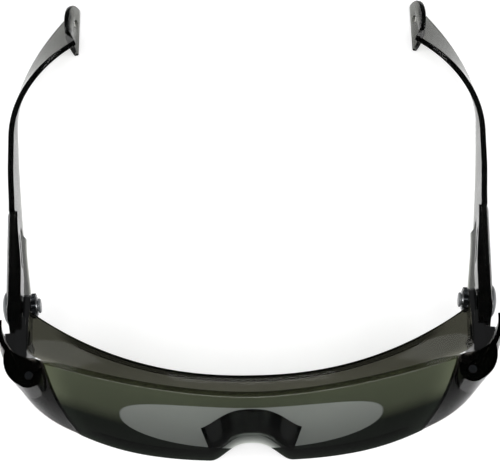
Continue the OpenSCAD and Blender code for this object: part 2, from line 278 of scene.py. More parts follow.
@dataclass(frozen=True)
class TintedFinish(Finish):
    """A see-through moulded plastic whose tint deepens with the length of plastic that light crosses."""

    tint: str = "4A4E46"
    depth: float = 500.0

    def build(self) -> bpy.types.Material:
        """Makes the see-through material with its absorbing volume.

        Returns:
            The new material.
        """
        material = bpy.data.materials.new(self.name)
        material.use_nodes = True
        shader = self.shader(material)
        shader.inputs["Transmission Weight"].default_value = 1.0
        tree = material.node_tree
        volume = add_node(tree, "ShaderNodeVolumeAbsorption",
                          values={"Color": linear(self.tint), "Density": self.depth})
        out = next(n for n in tree.nodes if n.type == "OUTPUT_MATERIAL")
        tree.links.new(volume.outputs[0], out.inputs["Volume"])
        return material


@dataclass(frozen=True)
class LensFinish(TintedFinish):
    """The lens: a lighter viewing window inside a darker band of painted shade and reflection, near black
    low down and olive towards the top.
    """

    # painted reflection, olive, towards the top, and painted shade, near black, low down, round the window
    painted_reflection_top: str = "4C5238"
    painted_shade_low: str = "050805"
    border_from_mm: float = 21.5
    border_to_mm: float = 32.5
    window_half_mm: float = 42.0
    window_mid_mm: float = 28.0
    window_up_mm: float = 15.5
    power: float = 2.3
    edge_from: float = 0.97
    edge_to: float = 1.02

    def build(self) -> bpy.types.Material:
        """Makes the lens material: the painted shade and reflection round the window come from Object
        coordinates, on the face light enters by.

        Returns:
            The new material.
        """
        material = super().build()
        tree = material.node_tree
        shader = next(n for n in tree.nodes if n.type == "BSDF_PRINCIPLED")
        tint = shader.inputs["Base Color"].links[0].from_socket
        place = add_node(tree, "ShaderNodeTexCoord")
        parts = add_node(tree, "ShaderNodeSeparateXYZ", links={0: place.outputs["Object"]})
        raised = maths(tree, "SUBTRACT", parts.outputs["Z"], self.window_mid_mm * MM)
        sizes = [maths(tree, "POWER", maths(tree, "ABSOLUTE", maths(tree, "DIVIDE", value, half * MM)),
                       self.power)
                 for value, half in ((parts.outputs["X"], self.window_half_mm),
                                     (raised, self.window_up_mm))]
        edge = add_node(tree, "ShaderNodeMapRange", {"interpolation_type": "SMOOTHSTEP"},
                        {"From Min": self.edge_from, "From Max": self.edge_to},
                        {"Value": maths(tree, "ADD", *sizes)})
        height = add_node(tree, "ShaderNodeMapRange", {"interpolation_type": "SMOOTHSTEP"},
                          {"From Min": self.border_from_mm * MM, "From Max": self.border_to_mm * MM},
                          {"Value": parts.outputs["Z"]})
        # painted shade low down, turning to painted reflection towards the top
        painted_border = add_node(tree, "ShaderNodeMix", {"data_type": "RGBA"},
                          {"A": linear(self.painted_shade_low), "B": linear(self.painted_reflection_top)},
                          {"Factor": height.outputs[0]})
        side = add_node(tree, "ShaderNodeNewGeometry")
        entry = maths(tree, "SUBTRACT", 1.0, side.outputs["Backfacing"])
        # the painted shade and reflection cover the lens outside the window, on the face light enters by
        blend = add_node(tree, "ShaderNodeMix", {"data_type": "RGBA"},
                         links={"Factor": maths(tree, "MULTIPLY", edge.outputs[0], entry),
                                "A": tint, "B": painted_border.outputs[2]})
        tree.links.new(blend.outputs[2], shader.inputs["Base Color"])
        return material


class FinishRack:
    """Every finish of the goggles, built once."""

    def __init__(self) -> None:
        """Builds the materials."""
        made = [
            # hard-coated polycarbonate, deep green-grey: the coat takes most of the mirror off its face
            LensFinish("lens_polycarbonate", "E8ECE6", "F4F6F2", Surface.POLISHED, ior=1.03, mirror=0.5,
                       tint="5C6660", depth=315.0),
            # the same plastic as the lens, given a warmer and denser tint: painted shade where it lies flat
            # over the brow
            TintedFinish("brow_polycarbonate", "E0DED0", "EEECDE", Surface.POLISHED, ior=1.25, mirror=0.5,
                         tint="626450", depth=1500.0),
            # smoke polycarbonate of the side walls: near black at the lug, brown where it is thin
            TintedFinish("shield_polycarbonate", "DCD6CC", "E8E4DC", Surface.GLOSSY, ior=1.12,
                         tint="56504A", depth=2900.0),
            # amorphous polyamide of the temples: clear grey across the blade, black along it
            TintedFinish("temple_polyamide", "E0E0DA", "EAEAE4", Surface.POLISHED, ior=1.25, mirror=0.6,
                         tint="62665E", depth=720.0),
            # the same polyamide in the sleeves, which hold more of the dye
            TintedFinish("sleeve_polyamide", "CCCEC8", "DADAD4", Surface.POLISHED, ior=1.25, mirror=0.6,
                         tint="5A5E58", depth=1300.0),
            # black polyamide, moulded against a polished steel mould: a wet-looking black
            Finish("saddle_black_polyamide", "020203", "050506", Surface.POLISHED, ior=1.4, bump=0.04),
            Finish("hinge_black_polyamide", "08090A", "0E0F10", Surface.GLOSSY, ior=1.4, bump=0.05),
            # grey acetal, moulded satin: a soft highlight over the rivet's dome
            Finish("rivet_grey_acetal", "55585A", "606365", Surface.SATIN, ior=1.48, bump=0.06),
            # blackened steel pin, turned: dark with fine rings
            Finish("pin_turned_steel", "2E3032", "222426", Surface.TURNED, metallic=1.0, mottle_mm=1.2,
                   scratch=0.15),
            # hardened spring strip, bright rolled
            Finish("spring_rolled_steel", "A6A8AA", "8E9092", Surface.TURNED, metallic=1.0, mottle_mm=2.0,
                   scratch=0.12),
        ]
        self.materials = {finish.name: finish.build() for finish in made}

    def __getitem__(self, name: str) -> bpy.types.Material:
        """The material of that name."""
        return self.materials[name]


# -------------------------------------------------------------- mesh workshop
@contextmanager
def editing(mesh: bpy.types.Mesh) -> Iterator[bmesh.types.BMesh]:
    """Opens a mesh for changes and writes them back.

    Args:
        mesh: The mesh.

    Yields:
        The mesh in its editable form.
    """
    work = bmesh.new()
    work.from_mesh(mesh)
    yield work
    work.to_mesh(mesh)
    work.free()


def prism(name: str, low_points: Sequence[Vector], high_points: Sequence[Vector]) -> bpy.types.Mesh:
    """A closed prism between two outlines.

    Args:
        name: The mesh's name.
        low_points: The points of one end, in order.
        high_points: The points of the other end, in the same order.

    Returns:
        The mesh.
    """
    mesh = bpy.data.meshes.new(name)
    with editing(mesh) as work:
        low, high = ([work.verts.new(p) for p in points] for points in (low_points, high_points))
        work.faces.new(low[::-1])
        work.faces.new(high)
        for i in range(len(low)):
            j = (i + 1) % len(low)
            work.faces.new((low[i], low[j], high[j], high[i]))
        bmesh.ops.recalc_face_normals(work, faces=work.faces)
    return mesh


def new_tree(name: str, inputs: Sequence[tuple], output: str) -> tuple[bpy.types.NodeTree, bpy.types.Node]:
    """Starts a Geometry Nodes tree.

    Args:
        name: The tree's name.
        inputs: Name, kind and default (or None) of each input.
        output: The name of the geometry that it gives.

    Returns:
        The tree and its input node.
    """
    tree = bpy.data.node_groups.new(name, "GeometryNodeTree")
    for label, kind, default in inputs:
        socket = tree.interface.new_socket(label, in_out="INPUT", socket_type="NodeSocket" + kind)
        if default is not None:
            socket.default_value = default
    tree.interface.new_socket(output, in_out="OUTPUT", socket_type="NodeSocketGeometry")
    return tree, add_node(tree, "NodeGroupInput")


def end_tree(tree: bpy.types.NodeTree, start: bpy.types.Node,
             shape: bpy.types.NodeSocket) -> bpy.types.NodeTree:
    """Ends a tree: realizes its instances and sets its material.

    Args:
        tree: The tree.
        start: Its input node, which has a Material.
        shape: The geometry it ends with.

    Returns:
        The tree.
    """
    real = add_node(tree, "GeometryNodeRealizeInstances", links={"Geometry": shape})
    dressed = add_node(tree, "GeometryNodeSetMaterial",
                       links={"Geometry": real.outputs[0], "Material": start.outputs["Material"]})
    add_node(tree, "NodeGroupOutput", links={0: dressed.outputs[0]})
    return tree


@dataclass
class Workshop:
    """Turns points in the plan's millimetres to finished meshes in the row frame."""

    plan_y: float
    shell_tree: bpy.types.NodeTree = field(init=False)
    teeth_tree: bpy.types.NodeTree = field(init=False)

    def __post_init__(self) -> None:
        """Builds the node trees that the pieces share."""
        self.shell_tree = self.make_shell_tree()
        self.teeth_tree = self.make_teeth_tree()

    @staticmethod
    def make_shell_tree() -> bpy.types.NodeTree:
        """A tree that gives an open face its wall, along the vectors stored as "wall".

        Returns:
            The node tree, with inputs Face, Wall Share and Material.
        """
        inputs = (("Face", "Geometry", None), ("Wall Share", "Float", 1.0), ("Material", "Material", None))
        tree, start = new_tree("moulded_shell", inputs, "Shell")
        wall = add_node(tree, "GeometryNodeInputNamedAttribute", {"data_type": "FLOAT_VECTOR"},
                        {"Name": "wall"})
        inward = add_node(tree, "ShaderNodeVectorMath", {"operation": "SCALE"},
                          links={0: wall.outputs[0], "Scale": start.outputs["Wall Share"]})
        back = add_node(tree, "GeometryNodeSetPosition",
                        links={"Geometry": start.outputs["Face"], "Offset": inward.outputs[0]})
        turned = add_node(tree, "GeometryNodeFlipFaces", links={0: back.outputs[0]})
        edge_count = add_node(tree, "GeometryNodeInputMeshEdgeNeighbors")
        is_rim = add_node(tree, "FunctionNodeCompare", {"data_type": "INT", "operation": "EQUAL"},
                          links={"A": edge_count.outputs[0]})
        is_rim.inputs["B"].default_value = 1
        rim = add_node(tree, "GeometryNodeExtrudeMesh", {"mode": "EDGES"}, {"Offset Scale": 0.0},
                       {"Mesh": start.outputs["Face"], "Selection": is_rim.outputs[0]})
        moved = add_node(tree, "GeometryNodeSetPosition",
                         links={"Geometry": rim.outputs["Mesh"], "Selection": rim.outputs["Top"],
                                "Offset": inward.outputs[0]})
        keep = add_node(tree, "GeometryNodeSeparateGeometry", {"domain": "FACE"},
                        links={"Geometry": moved.outputs[0], "Selection": rim.outputs["Side"]})
        joined = add_node(tree, "GeometryNodeJoinGeometry")
        for part in (start.outputs["Face"], turned.outputs[0], keep.outputs["Selection"]):
            tree.links.new(part, joined.inputs[0])
        closed = add_node(tree, "GeometryNodeMergeByDistance", values={"Distance": MERGE},
                          links={"Geometry": joined.outputs[0]})
        return end_tree(tree, start, closed.outputs[0])

    @staticmethod
    def make_teeth_tree() -> bpy.types.NodeTree:
        """A tree that sets one tooth at every point of a ring of teeth round a hub.

        Returns:
            The node tree, with inputs Hub, Tooth, Count, Radius and Material.
        """
        inputs = (("Hub", "Geometry", None), ("Tooth", "Object", None), ("Count", "Int", 18),
                  ("Radius", "Float", 0.004), ("Material", "Material", None))
        tree, start = new_tree("ratchet_teeth", inputs, "Disc")
        ring = add_node(tree, "GeometryNodeMeshCircle",
                        links={"Vertices": start.outputs["Count"], "Radius": start.outputs["Radius"]})
        number = add_node(tree, "GeometryNodeInputIndex")
        part = maths(tree, "DIVIDE", number.outputs[0], start.outputs["Count"])
        turn = add_node(tree, "ShaderNodeCombineXYZ", links={"Z": maths(tree, "MULTIPLY", part, math.tau)})
        tooth = add_node(tree, "GeometryNodeObjectInfo", links={"Object": start.outputs["Tooth"]})
        teeth = add_node(tree, "GeometryNodeInstanceOnPoints",
                         links={"Points": ring.outputs[0], "Instance": tooth.outputs["Geometry"],
                                "Rotation": turn.outputs[0]})
        joined = add_node(tree, "GeometryNodeJoinGeometry")
        tree.links.new(start.outputs["Hub"], joined.inputs[0])
        tree.links.new(teeth.outputs[0], joined.inputs[0])
        return end_tree(tree, start, joined.outputs[0])

    def place(self, p: Vector) -> Vector:
        """A plan point in millimetres, in the row frame in metres."""
        return Vector((p.x, p.y + self.plan_y, p.z)) * MM

    @staticmethod
    def set_input(modifier: bpy.types.Modifier, name: str, value: object) -> None:
        """Sets a tree's input by its socket identifier.

        Args:
            modifier: The Geometry Nodes modifier.
            name: The input's name.
            value: The new value.
        """
        sockets = modifier.node_group.interface.items_tree
        socket = next(s for s in sockets if s.name == name and s.in_out == "INPUT")
        modifier[socket.identifier] = value

    @staticmethod
    def new_object(name: str, mesh: bpy.types.Mesh) -> bpy.types.Object:
        """Links a new object for a mesh.

        Args:
            name: The object's name.
            mesh: Its mesh.

        Returns:
            The object.
        """
        obj = bpy.data.objects.new(name, mesh)
        bpy.context.scene.collection.objects.link(obj)
        return obj

    @staticmethod
    def bake(obj: bpy.types.Object) -> bpy.types.Object:
        """Turns an object's modifiers to a plain mesh.

        Args:
            obj: The object.

        Returns:
            The same object, with no modifiers.
        """
        graph = bpy.context.evaluated_depsgraph_get()
        graph.update()
        mesh = bpy.data.meshes.new_from_object(obj.evaluated_get(graph))
        obj.modifiers.clear()
        obj.data = mesh
        return obj

    def shell(self, name: str, face: Grid, back: Grid, material: bpy.types.Material,
              edge_mm: float = 0.5) -> bpy.types.Object:
        """A closed moulded sheet between two grids of points, with rounded edges.

        Args:
            name: The object's name.
            face: The outer points, rows along the piece.
            back: The inner points, in the same order.
            material: The finish.
            edge_mm: The radius of the sheet's edges.

        Returns:
            The baked object.
        """
        mesh = bpy.data.meshes.new(name)
        rows, columns = len(face), len(face[0])
        points = [self.place(p) for row in face for p in row]
        quads = [(i * columns + j, (i + 1) * columns + j, (i + 1) * columns + j + 1, i * columns + j + 1)
                 for i in range(rows - 1) for j in range(columns - 1)]
        mesh.from_pydata(points, [], quads)
        wall = mesh.attributes.new("wall", "FLOAT_VECTOR", "POINT")
        offsets = [c for f, b in zip(face, back) for p, q in zip(f, b) for c in (q - p) * MM]
        wall.data.foreach_set("vector", offsets)
        obj = self.new_object(name, mesh)
        nodes = obj.modifiers.new("Shell", "NODES")
        nodes.node_group = self.shell_tree
        self.set_input(nodes, "Wall Share", 1.0)
        self.set_input(nodes, "Material", material)
        self.bake(obj)
        self.close(obj)
        self.round_edges(obj, edge_mm)
        return obj

    @staticmethod
    def close(obj: bpy.types.Object) -> None:
        """Merges doubles and points every face outwards.

        Args:
            obj: The object.
        """
        with editing(obj.data) as work:
            bmesh.ops.remove_doubles(work, verts=work.verts, dist=MERGE)
            bmesh.ops.dissolve_degenerate(work, dist=MERGE, edges=work.edges)
            bmesh.ops.recalc_face_normals(work, faces=work.faces)
            if work.calc_volume(signed=True) < 0:
                bmesh.ops.reverse_faces(work, faces=work.faces)

    def round_edges(self, obj: bpy.types.Object, radius_mm: float, angle: float = 50.0) -> None:
        """Rounds an object's sharp edges and shades the rest smooth.

        Args:
            obj: The object.
            radius_mm: The radius.
            angle: The least angle of an edge that is rounded, degrees.
        """
        if radius_mm > 0:
            bevel = obj.modifiers.new("Edges", "BEVEL")
            bevel.width = radius_mm * MM
            bevel.segments = 3
            bevel.limit_method = "ANGLE"
            bevel.angle_limit = math.radians(angle)
            bevel.use_clamp_overlap = True
            self.bake(obj)
        self.shade(obj)

    @staticmethod
    def shade(obj: bpy.types.Object, sharp: float = 42.0) -> None:
        """Shades an object smooth, apart from edges sharper than an angle.

        Args:
            obj: The object.
            sharp: The angle, degrees.
        """
        with editing(obj.data) as work:
            for face in work.faces:
                face.smooth = True
            for edge in work.edges:
                edge.smooth = len(edge.link_faces) != 2 or edge.calc_face_angle(0.0) < math.radians(sharp)

    def solid(self, name: str, outline: Sequence[Vector], up: Vector) -> bpy.types.Object:
        """A prism from an outline in plan millimetres.

        Args:
            name: The object's name.
            outline: The points of one end, in order.
            up: The vector to the other end.

        Returns:
            The object.
        """
        low, high = [self.place(p) for p in outline], [self.place(p + up) for p in outline]
        return self.new_object(name, prism(name, low, high))

    def join_by(self, obj: bpy.types.Object, tool: bpy.types.Object, operation: str) -> None:
        """Adds, cuts or intersects another solid, which is used up.

        Args:
            obj: The object that stays.
            tool: The other solid.
            operation: UNION, DIFFERENCE or INTERSECT.
        """
        work = obj.modifiers.new("Join", "BOOLEAN")
        work.operation = operation
        work.solver = "EXACT"
        work.object = tool
        self.bake(obj)
        bpy.data.objects.remove(tool)

    @staticmethod
    def mirrored(obj: bpy.types.Object, name: str) -> bpy.types.Object:
        """The mirror image of a finished object about X = 0.

        Args:
            obj: The right-hand object.
            name: The left-hand name.

        Returns:
            The new object.
        """
        mesh = obj.data.copy()
        with editing(mesh) as work:
            for vert in work.verts:
                vert.co.x = -vert.co.x
            bmesh.ops.reverse_faces(work, faces=work.faces)
        return Workshop.new_object(name, mesh)

    @staticmethod
    def copy_of(node: str, name: str) -> bpy.types.Object:
        """A merged copy of a CAD node, with flat faces dissolved.

        Args:
            node: The CAD node.
            name: The new object's name.

        Returns:
            The new object.
        """
        mesh = frame["nodes"][node].data.copy()
        with editing(mesh) as work:
            bmesh.ops.remove_doubles(work, verts=work.verts, dist=MERGE)
            bmesh.ops.dissolve_limit(work, angle_limit=math.radians(1.0), verts=work.verts,
                                     edges=work.edges)
        mesh.materials.clear()
        return Workshop.new_object(name, mesh)


def dress(obj: bpy.types.Object, material: bpy.types.Material) -> bpy.types.Object:
    """Gives an object one material in every slot.

    Args:
        obj: The object.
        material: The material.

    Returns:
        The object.
    """
    obj.data.materials.clear()
    obj.data.materials.append(material)
    for face in obj.data.polygons:
        face.material_index = 0
    return obj


def hand_in(obj: bpy.types.Object, body: str, slot: str, *nodes: str) -> None:
    """Hangs a finished piece on the body that it moves with, hides the CAD nodes that it stands for and
    logs it.

    Args:
        obj: The finished piece.
        body: The CAD body that it moves with.
        slot: The record's material slot; not used.
        nodes: The CAD nodes that it stands for.
    """
    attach(obj, body)
    if nodes:
        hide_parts(*nodes)
    LOG.info("%s: %d faces, on %s", obj.name, len(obj.data.polygons), body)


def hand_in_pair(obj: bpy.types.Object, body: str, slot: str, node: str) -> None:
    """Mirrors a finished right-hand piece and hands both in.

    Args:
        obj: The right-hand piece, whose name ends in "_right".
        body: The CAD body, less its side, or "front".
        slot: The record's material slot; passed on to hand_in, which does not use it.
        node: The CAD node, less its side.
    """
    left = Workshop.mirrored(obj, obj.name.replace("_right", "_left"))
    for piece, side in ((obj, Side.RIGHT), (left, Side.LEFT)):
        tail = "_" + side.label
        hand_in(piece, body if body == "front" else body + tail, slot, node + tail)


# ---------------------------------------------------------------------- front
@dataclass(frozen=True)
class FrontPlan:
    """The rules that the pieces of the front share, in millimetres."""

    half_w: float = 80.5
    lens_h: float = 50.0
    lens_wall: float = 2.2
    reach_low: float = 16.7
    reach_top: float = 9.8
    nose_half_w: float = 14.0
    nose_h: float = 17.0
    pin_x: float = 69.6
    pin_y: float = 1.2
    seam_top: float = 65.3
    seam_low: float = 57.5
    seam_z: float = 2.5
    fold_fall: float = 13.0
    top_sweep: float = 21.0
    low_sweep: float = 22.4
    bulge: float = 1.0
    rim_t: float = 1.2
    seam_play: float = 0.1
    seam_bow: float = 1.2

    def fold_z(self, x: float) -> float:
        """Height of the fold line over the plan."""
        return self.lens_h - self.fold_fall * (abs(x) / self.half_w) ** 2.2

    def fold_y(self, x: float) -> float:
        """Plan of the fold line."""
        return -self.reach_top + self.top_sweep * (abs(x) / self.half_w) ** 1.8

    def low_y(self, x: float) -> float:
        """Plan of the lens's lower edge."""
        return -self.reach_low + self.low_sweep * (abs(x) / self.half_w) ** 2.7

    def low_z(self, x: float) -> float:
        """Height of the lens's lower edge."""
        return self.seam_z * max(0.0, (abs(x) - 35) / (self.seam_low - 35)) ** 2

    @staticmethod
    def arch(t: float) -> float:
        """Nose arch, 1 at its crown and 0 at its feet."""
        return (1 + cos_deg(180 * min(1.0, abs(t)) ** 1.25)) / 2

    def lens_point(self, u: float, v: float) -> Vector:
        """A point of the lens's outer face.

        Args:
            u: -1 to 1 across.
            v: 0 to 1 up.

        Returns:
            The point.
        """
        xl, xt = u * self.seam_low, u * self.seam_top
        low = Vector((xl, self.low_y(xl), self.low_z(xl)))
        top = Vector((xt, self.fold_y(xt), self.fold_z(xt)))
        start = self.nose_h * self.arch(xl / self.nose_half_w) / self.lens_h
        h = start + (1 - start) * v
        return mix(low, top, h) + Vector((u * self.seam_bow, -self.bulge, 0)) * sin_deg(180 * h)

    def lens_inward(self, u: float, v: float) -> Vector:
        """The inward direction of the lens at that point, in plan."""
        d = self.lens_point(u + 0.01, v) - self.lens_point(u - 0.01, v)
        return Vector((-d.y, d.x, 0)).normalized()

    def lens_thick(self, u: float, v: float) -> float:
        """The lens's wall at that point, with its thicker lower rim."""
        rim = self.rim_t * (1 - smooth(v, 0.03, 0.09)) * (1 - smooth(abs(u), 0.85, 1))
        return (self.lens_wall + rim) * (1 - 0.4 * smooth(abs(u), 0.9, 1))


@dataclass
class Lens:
    """The wraparound lens with the nose arch and its thicker lower rim."""

    plan: FrontPlan
    columns: int = 161
    rows: int = 49

    def build(self, shop: Workshop, rack: FinishRack) -> None:
        """Makes the lens.

        Args:
            shop: The mesh workshop.
            rack: The finishes.
        """
        us = [t * (0.6 + 0.4 * t * t) for t in span(-1, 1, self.columns)]
        vs = sorted(set(eased(self.rows) + [0.03, 0.045, 0.06, 0.075, 0.09]))
        face = [[self.plan.lens_point(u, v) for v in vs] for u in us]
        back = [[p + self.plan.lens_thick(u, v) * self.plan.lens_inward(u, v) for p, v in zip(row, vs)]
                for row, u in zip(face, us)]
        obj = shop.shell("lens_pane", face, back, rack["lens_polycarbonate"], 0.35)
        hand_in(obj, "front", "lens_tint", "lens")


@dataclass
class BrowGuard:
    """The guard that runs back from the lens's upper edge, with a lip along its rear edge."""

    plan: FrontPlan
    depth: float = 6.0
    wall: float = 2.0
    lip: float = 1.0
    rise: float = 3.0
    out: float = 5.0
    out_from: float = 0.06
    out_to: float = 0.16

    def rear(self, x: float) -> float:
        """Rear edge of the guard over the plan."""
        return -self.plan.reach_top + self.depth + 21.5 * (abs(x) / 64.3) ** 2.2

    def point(self, e: float, v: float, under: bool) -> Vector:
        """A point of the guard.

        Args:
            e: -1 to 1 across.
            v: 0 at the lens to 1 at the rear edge.
            under: Whether the point is on the lower face.

        Returns:
            The point.
        """
        top = self.plan.seam_top
        x = e * (top + self.out * smooth(v, self.out_from, self.out_to))
        z = self.plan.fold_z(x) + 1 + self.rise * (1 - 0.5 * (x / top) ** 2) * sin_deg(90 * v)
        t = (0.9 + (self.wall - 0.9) * smooth(v, 0, 0.3)
             + self.lip * smooth(v, 0.75, 0.9) * (1 - smooth(abs(e), 0.75, 0.9)))
        return Vector((x, mix(self.plan.fold_y(x), self.rear(x), v), z - (t if under else 0)))

    def build(self, shop: Workshop, rack: FinishRack) -> None:
        """Makes the brow guard.

        Args:
            shop: The mesh workshop.
            rack: The finishes.
        """
        es = [-e for e in span(-1, 1, 121)]
        vs = eased(33)
        face = [[self.point(e, v, False) for v in vs] for e in es]
        back = [[self.point(e, v, True) for v in vs] for e in es]
        obj = shop.shell("brow_guard_sheet", face, back, rack["brow_polycarbonate"], 0.35)
        hand_in(obj, "front", "brow_tint", "brow_guard")


@dataclass
class NoseSaddle:
    """The black saddle behind the nose arch."""

    plan: FrontPlan
    wall: float = 2.2
    depth: float = 7.0
    flare: float = 0.2

    def point(self, s: float, w: float, out: float) -> Vector:
        """A point of the saddle.

        Args:
            s: -1 to 1 round the arch.
            w: 0 at the lens to 1 at the rear.
            out: Distance outside the arch.

        Returns:
            The point.
        """
        plan = self.plan

        def arch(k: float) -> Vector:
            """The arch in front view."""
            return Vector((plan.nose_half_w * k, plan.nose_h * plan.arch(k)))

        d = arch(s + 0.01) - arch(s - 0.01)
        p = arch(s) + out * Vector((-d.y, d.x)).normalized()
        y = (plan.low_y(p.x) + (plan.reach_low - plan.reach_top) * p.y / plan.lens_h
             - plan.bulge * sin_deg(180 * p.y / plan.lens_h))
        return Vector((p.x * (1 + self.flare * w),
                       y + plan.lens_wall + plan.rim_t + plan.seam_play + self.depth * w,
                       max(0.6, p.y + 1.5 * w)))

    def build(self, shop: Workshop, rack: FinishRack) -> None:
        """Makes the saddle.

        Args:
            shop: The mesh workshop.
            rack: The finishes.
        """
        ss = [0.94 * s for s in span(-1, 1, 81)]
        ws = eased(21)
        face = [[self.point(s, w, self.wall) for w in ws] for s in ss]
        back = [[self.point(s, w, 0) for w in ws] for s in ss]
        obj = shop.shell("nose_saddle", face, back, rack["saddle_black_polyamide"], 0.6)
        hand_in(obj, "front", "bridge_black", "nose_bridge")


@dataclass
class SideShield:
    """A side wall round the corner of the front, with the hinge lug moulded on."""

    plan: FrontPlan
    rear: float = 18.0
    low: float = 24.0
    wall: float = 2.0
    ear: float = 2.6
    gap: float = 0.3
    knuckle_h: float = 7.0
    knuckle_r: float = 2.9
    pin_r: float = 1.3

    @property
    def top(self) -> float:
        """Height of the lug's roof."""
        return self.plan.fold_z(self.plan.pin_x) + 1.2

    @property
    def ear_r(self) -> float:
        """Radius of the lug's inner end."""
        return self.plan.pin_x - self.plan.seam_top - self.plan.seam_play

    @property
    def knuckle_top(self) -> float:
        """Top of the slot between the ears, less its gap."""
        return self.top - self.ear - self.gap

    @property
    def knuckle_low(self) -> float:
        """Bottom of the slot between the ears, plus its gap."""
        return self.knuckle_top - self.knuckle_h

    @property
    def bottom(self) -> float:
        """Height of the lug's lower face."""
        return self.knuckle_low - self.gap - self.ear

    @property
    def slot_floor(self) -> Vector:
        """The slot's lower face, from the pin's foot."""
        return Vector((0, 0, self.knuckle_low - self.gap))

    @property
    def slot_up(self) -> Vector:
        """The slot's height."""
        return Vector((0, 0, self.knuckle_top - self.knuckle_low + 2 * self.gap))

    def swing(self) -> list[list[Vector]]:
        """The outlines, from the pin, that the link needs clear as it folds."""
        path = [(0, 0), (2.9, 0.4), (4.4, 4.4), (6.6, 8.6), (6.6, 26), (-8, 26), (-26, 16), (-11.7, 8.0),
                (-4.11, 4.16), (-2.03, 1.69)]
        return [self.disc(self.knuckle_r + self.gap), [Vector((x, y, 0)) for x, y in path]]

    def edge_low(self, t: float) -> Vector:
        """The wall's lower edge, t from the lens to the rear end."""
        p = self.plan.lens_point(1, 0)
        return Vector((mix(p.x, self.plan.half_w, sin_deg(90 * t)),
                       mix(p.y, self.rear, 1 - cos_deg(90 * t)) + 2.2 * sin_deg(180 * t ** 0.7),
                       p.z + (self.low - p.z) * t ** 1.3))

    def edge_top(self, t: float) -> Vector:
        """The wall's upper edge, t from the lens to the rear end."""
        p = self.plan.lens_point(1, 1)
        return Vector((mix(p.x, self.plan.half_w, sin_deg(90 * t) ** 0.83),
                       mix(p.y, self.rear + 2, 1 - max(0.0, cos_deg(90 * t)) ** 0.83),
                       p.z + (self.top - 0.8 - p.z) * t))

    def point(self, t: float, v: float) -> Vector:
        """A point of the wall's outer face.

        Args:
            t: 0 at the lens to 1 at the rear end.
            v: 0 to 1 up.

        Returns:
            The point.
        """
        plan = self.plan
        bow = Vector((plan.seam_bow, -plan.bulge, 0)) * (1 - t) + Vector((plan.bulge, 0, 0)) * t
        return (mix(self.edge_low(t), self.edge_top(t), v)
                + plan.seam_play * (1 - t) * Vector((0.9, 0.4, 0)) + sin_deg(180 * v) * bow)

    def inward(self, t: float, v: float) -> Vector:
        """The wall's inward direction at that point."""
        d = self.point(min(1, t + 0.03), v) - self.point(max(0, t - 0.03), v)
        own = Vector((-d.y, d.x, 0)).normalized()
        return mix(self.plan.lens_inward(1, v), own, smooth(t, 0, 0.16)).normalized()

    def thick(self, t: float) -> float:
        """The wall's thickness."""
        return mix(0.6 * self.plan.lens_wall, mix(self.wall, 1.4, t), smooth(t, 0, 0.1))

    def lug_front(self, a: float, k: float) -> Vector:
        """The lug's front outline, from the pin.

        Args:
            a: The angle about the pin.
            k: 0 at the lug's lower face to 1 at its roof.

        Returns:
            The plan point from the pin.
        """
        taper = 0.5 * smooth(a, -180, -120) + 0.9 * sin_deg(180 * smooth(a, -50, 50))
        r = (self.ear_r + 7.1 * max(0.0, (a + 60) / 105) ** 2
             - (taper - 1.3 * smooth(a, 15, 45)) * (1 - k))
        return Vector((r * cos_deg(a), r * sin_deg(a), 0))

    def lug_rear(self, t: float, k: float = 1.0) -> Vector:
        """The lug's rear S-curve, from the pin, t from the inner to the outer end."""
        return Vector((9.1 * t - 1.3 + 0.7 * (1 - k) * smooth(t, 0.75, 1),
                       self.ear_r + 1.35 * (1 - (1 - min(1.0, 2.2 * t)) ** 2)
                       + 3.6 * max(0.0, 2 * t - 1) ** 2.2, 0))

    def disc(self, r: float, n: int = 64) -> list[Vector]:
        """A circle about the pin.

        Args:
            r: The radius.
            n: How many points.

        Returns:
            The points, from the pin.
        """
        return [Vector((r * math.cos(math.tau * i / n), r * math.sin(math.tau * i / n), 0))
                for i in range(n)]

    def lug(self, shop: Workshop, name: str, material: bpy.types.Material) -> bpy.types.Object:
        """Makes the lug, uncut.

        Args:
            shop: The mesh workshop.
            name: The object's name.
            material: The finish.

        Returns:
            The lug.
        """
        pin = Vector((self.plan.pin_x, self.plan.pin_y, 0))
        n = 48
        ks = span(0, 1, 9)

        def ring(rule: Callable[[float, float], Vector], i: int) -> list[Vector]:
            """One column of the lug from its lower face to its roof."""
            return [pin + rule(i / n, k) + Vector((0, 0, mix(self.bottom, self.top, k))) for k in ks]

        face = [ring(lambda f, k: self.lug_front(45 - 288 * (1 - f), k), i) for i in range(n + 1)]
        back = [ring(self.lug_rear, i) for i in range(n + 1)]
        return shop.shell(name, face, back, material, 0)

    def cuts(self) -> list[tuple[list[Vector], Vector, Vector]]:
        """What is cut out of the lug and the wall: the link's slot, the pin's bore and the recess round it.

        Returns:
            Outline, foot and height of each cut, from the pin.
        """
        tall = Vector((0, 0, 20))
        slot = [(outline, self.slot_floor, self.slot_up) for outline in self.swing()]
        return slot + [(self.disc(self.pin_r + 0.02), Vector((0, 0, self.bottom - 1)), tall),
                       (self.disc(self.pin_r + 0.8), Vector((0, 0, self.top - 0.7)), tall)]

    def build(self, shop: Workshop, rack: FinishRack) -> None:
        """Makes both side shields.

        Args:
            shop: The mesh workshop.
            rack: The finishes.
        """
        material = rack["shield_polycarbonate"]
        ts, vs = eased(73, 0.2), eased(41)
        face = [[self.point(t, v) for v in vs] for t in ts]
        back = [[p + self.thick(t) * self.inward(t, v) for p, v in zip(row, vs)]
                for row, t in zip(face, ts)]
        wall = shop.shell("side_wall_right", face, back, material, 0.3)
        shop.join_by(wall, self.lug(shop, "hinge_lug", material), "UNION")
        pin = Vector((self.plan.pin_x, self.plan.pin_y, 0))
        for outline, low, up in self.cuts():
            shop.join_by(wall, shop.solid("cutter", [pin + p + low for p in outline], up), "DIFFERENCE")
        shop.close(wall)
        shop.shade(wall)
        dress(wall, material)
        hand_in_pair(wall, "front", "shield_tint", "side_shield")


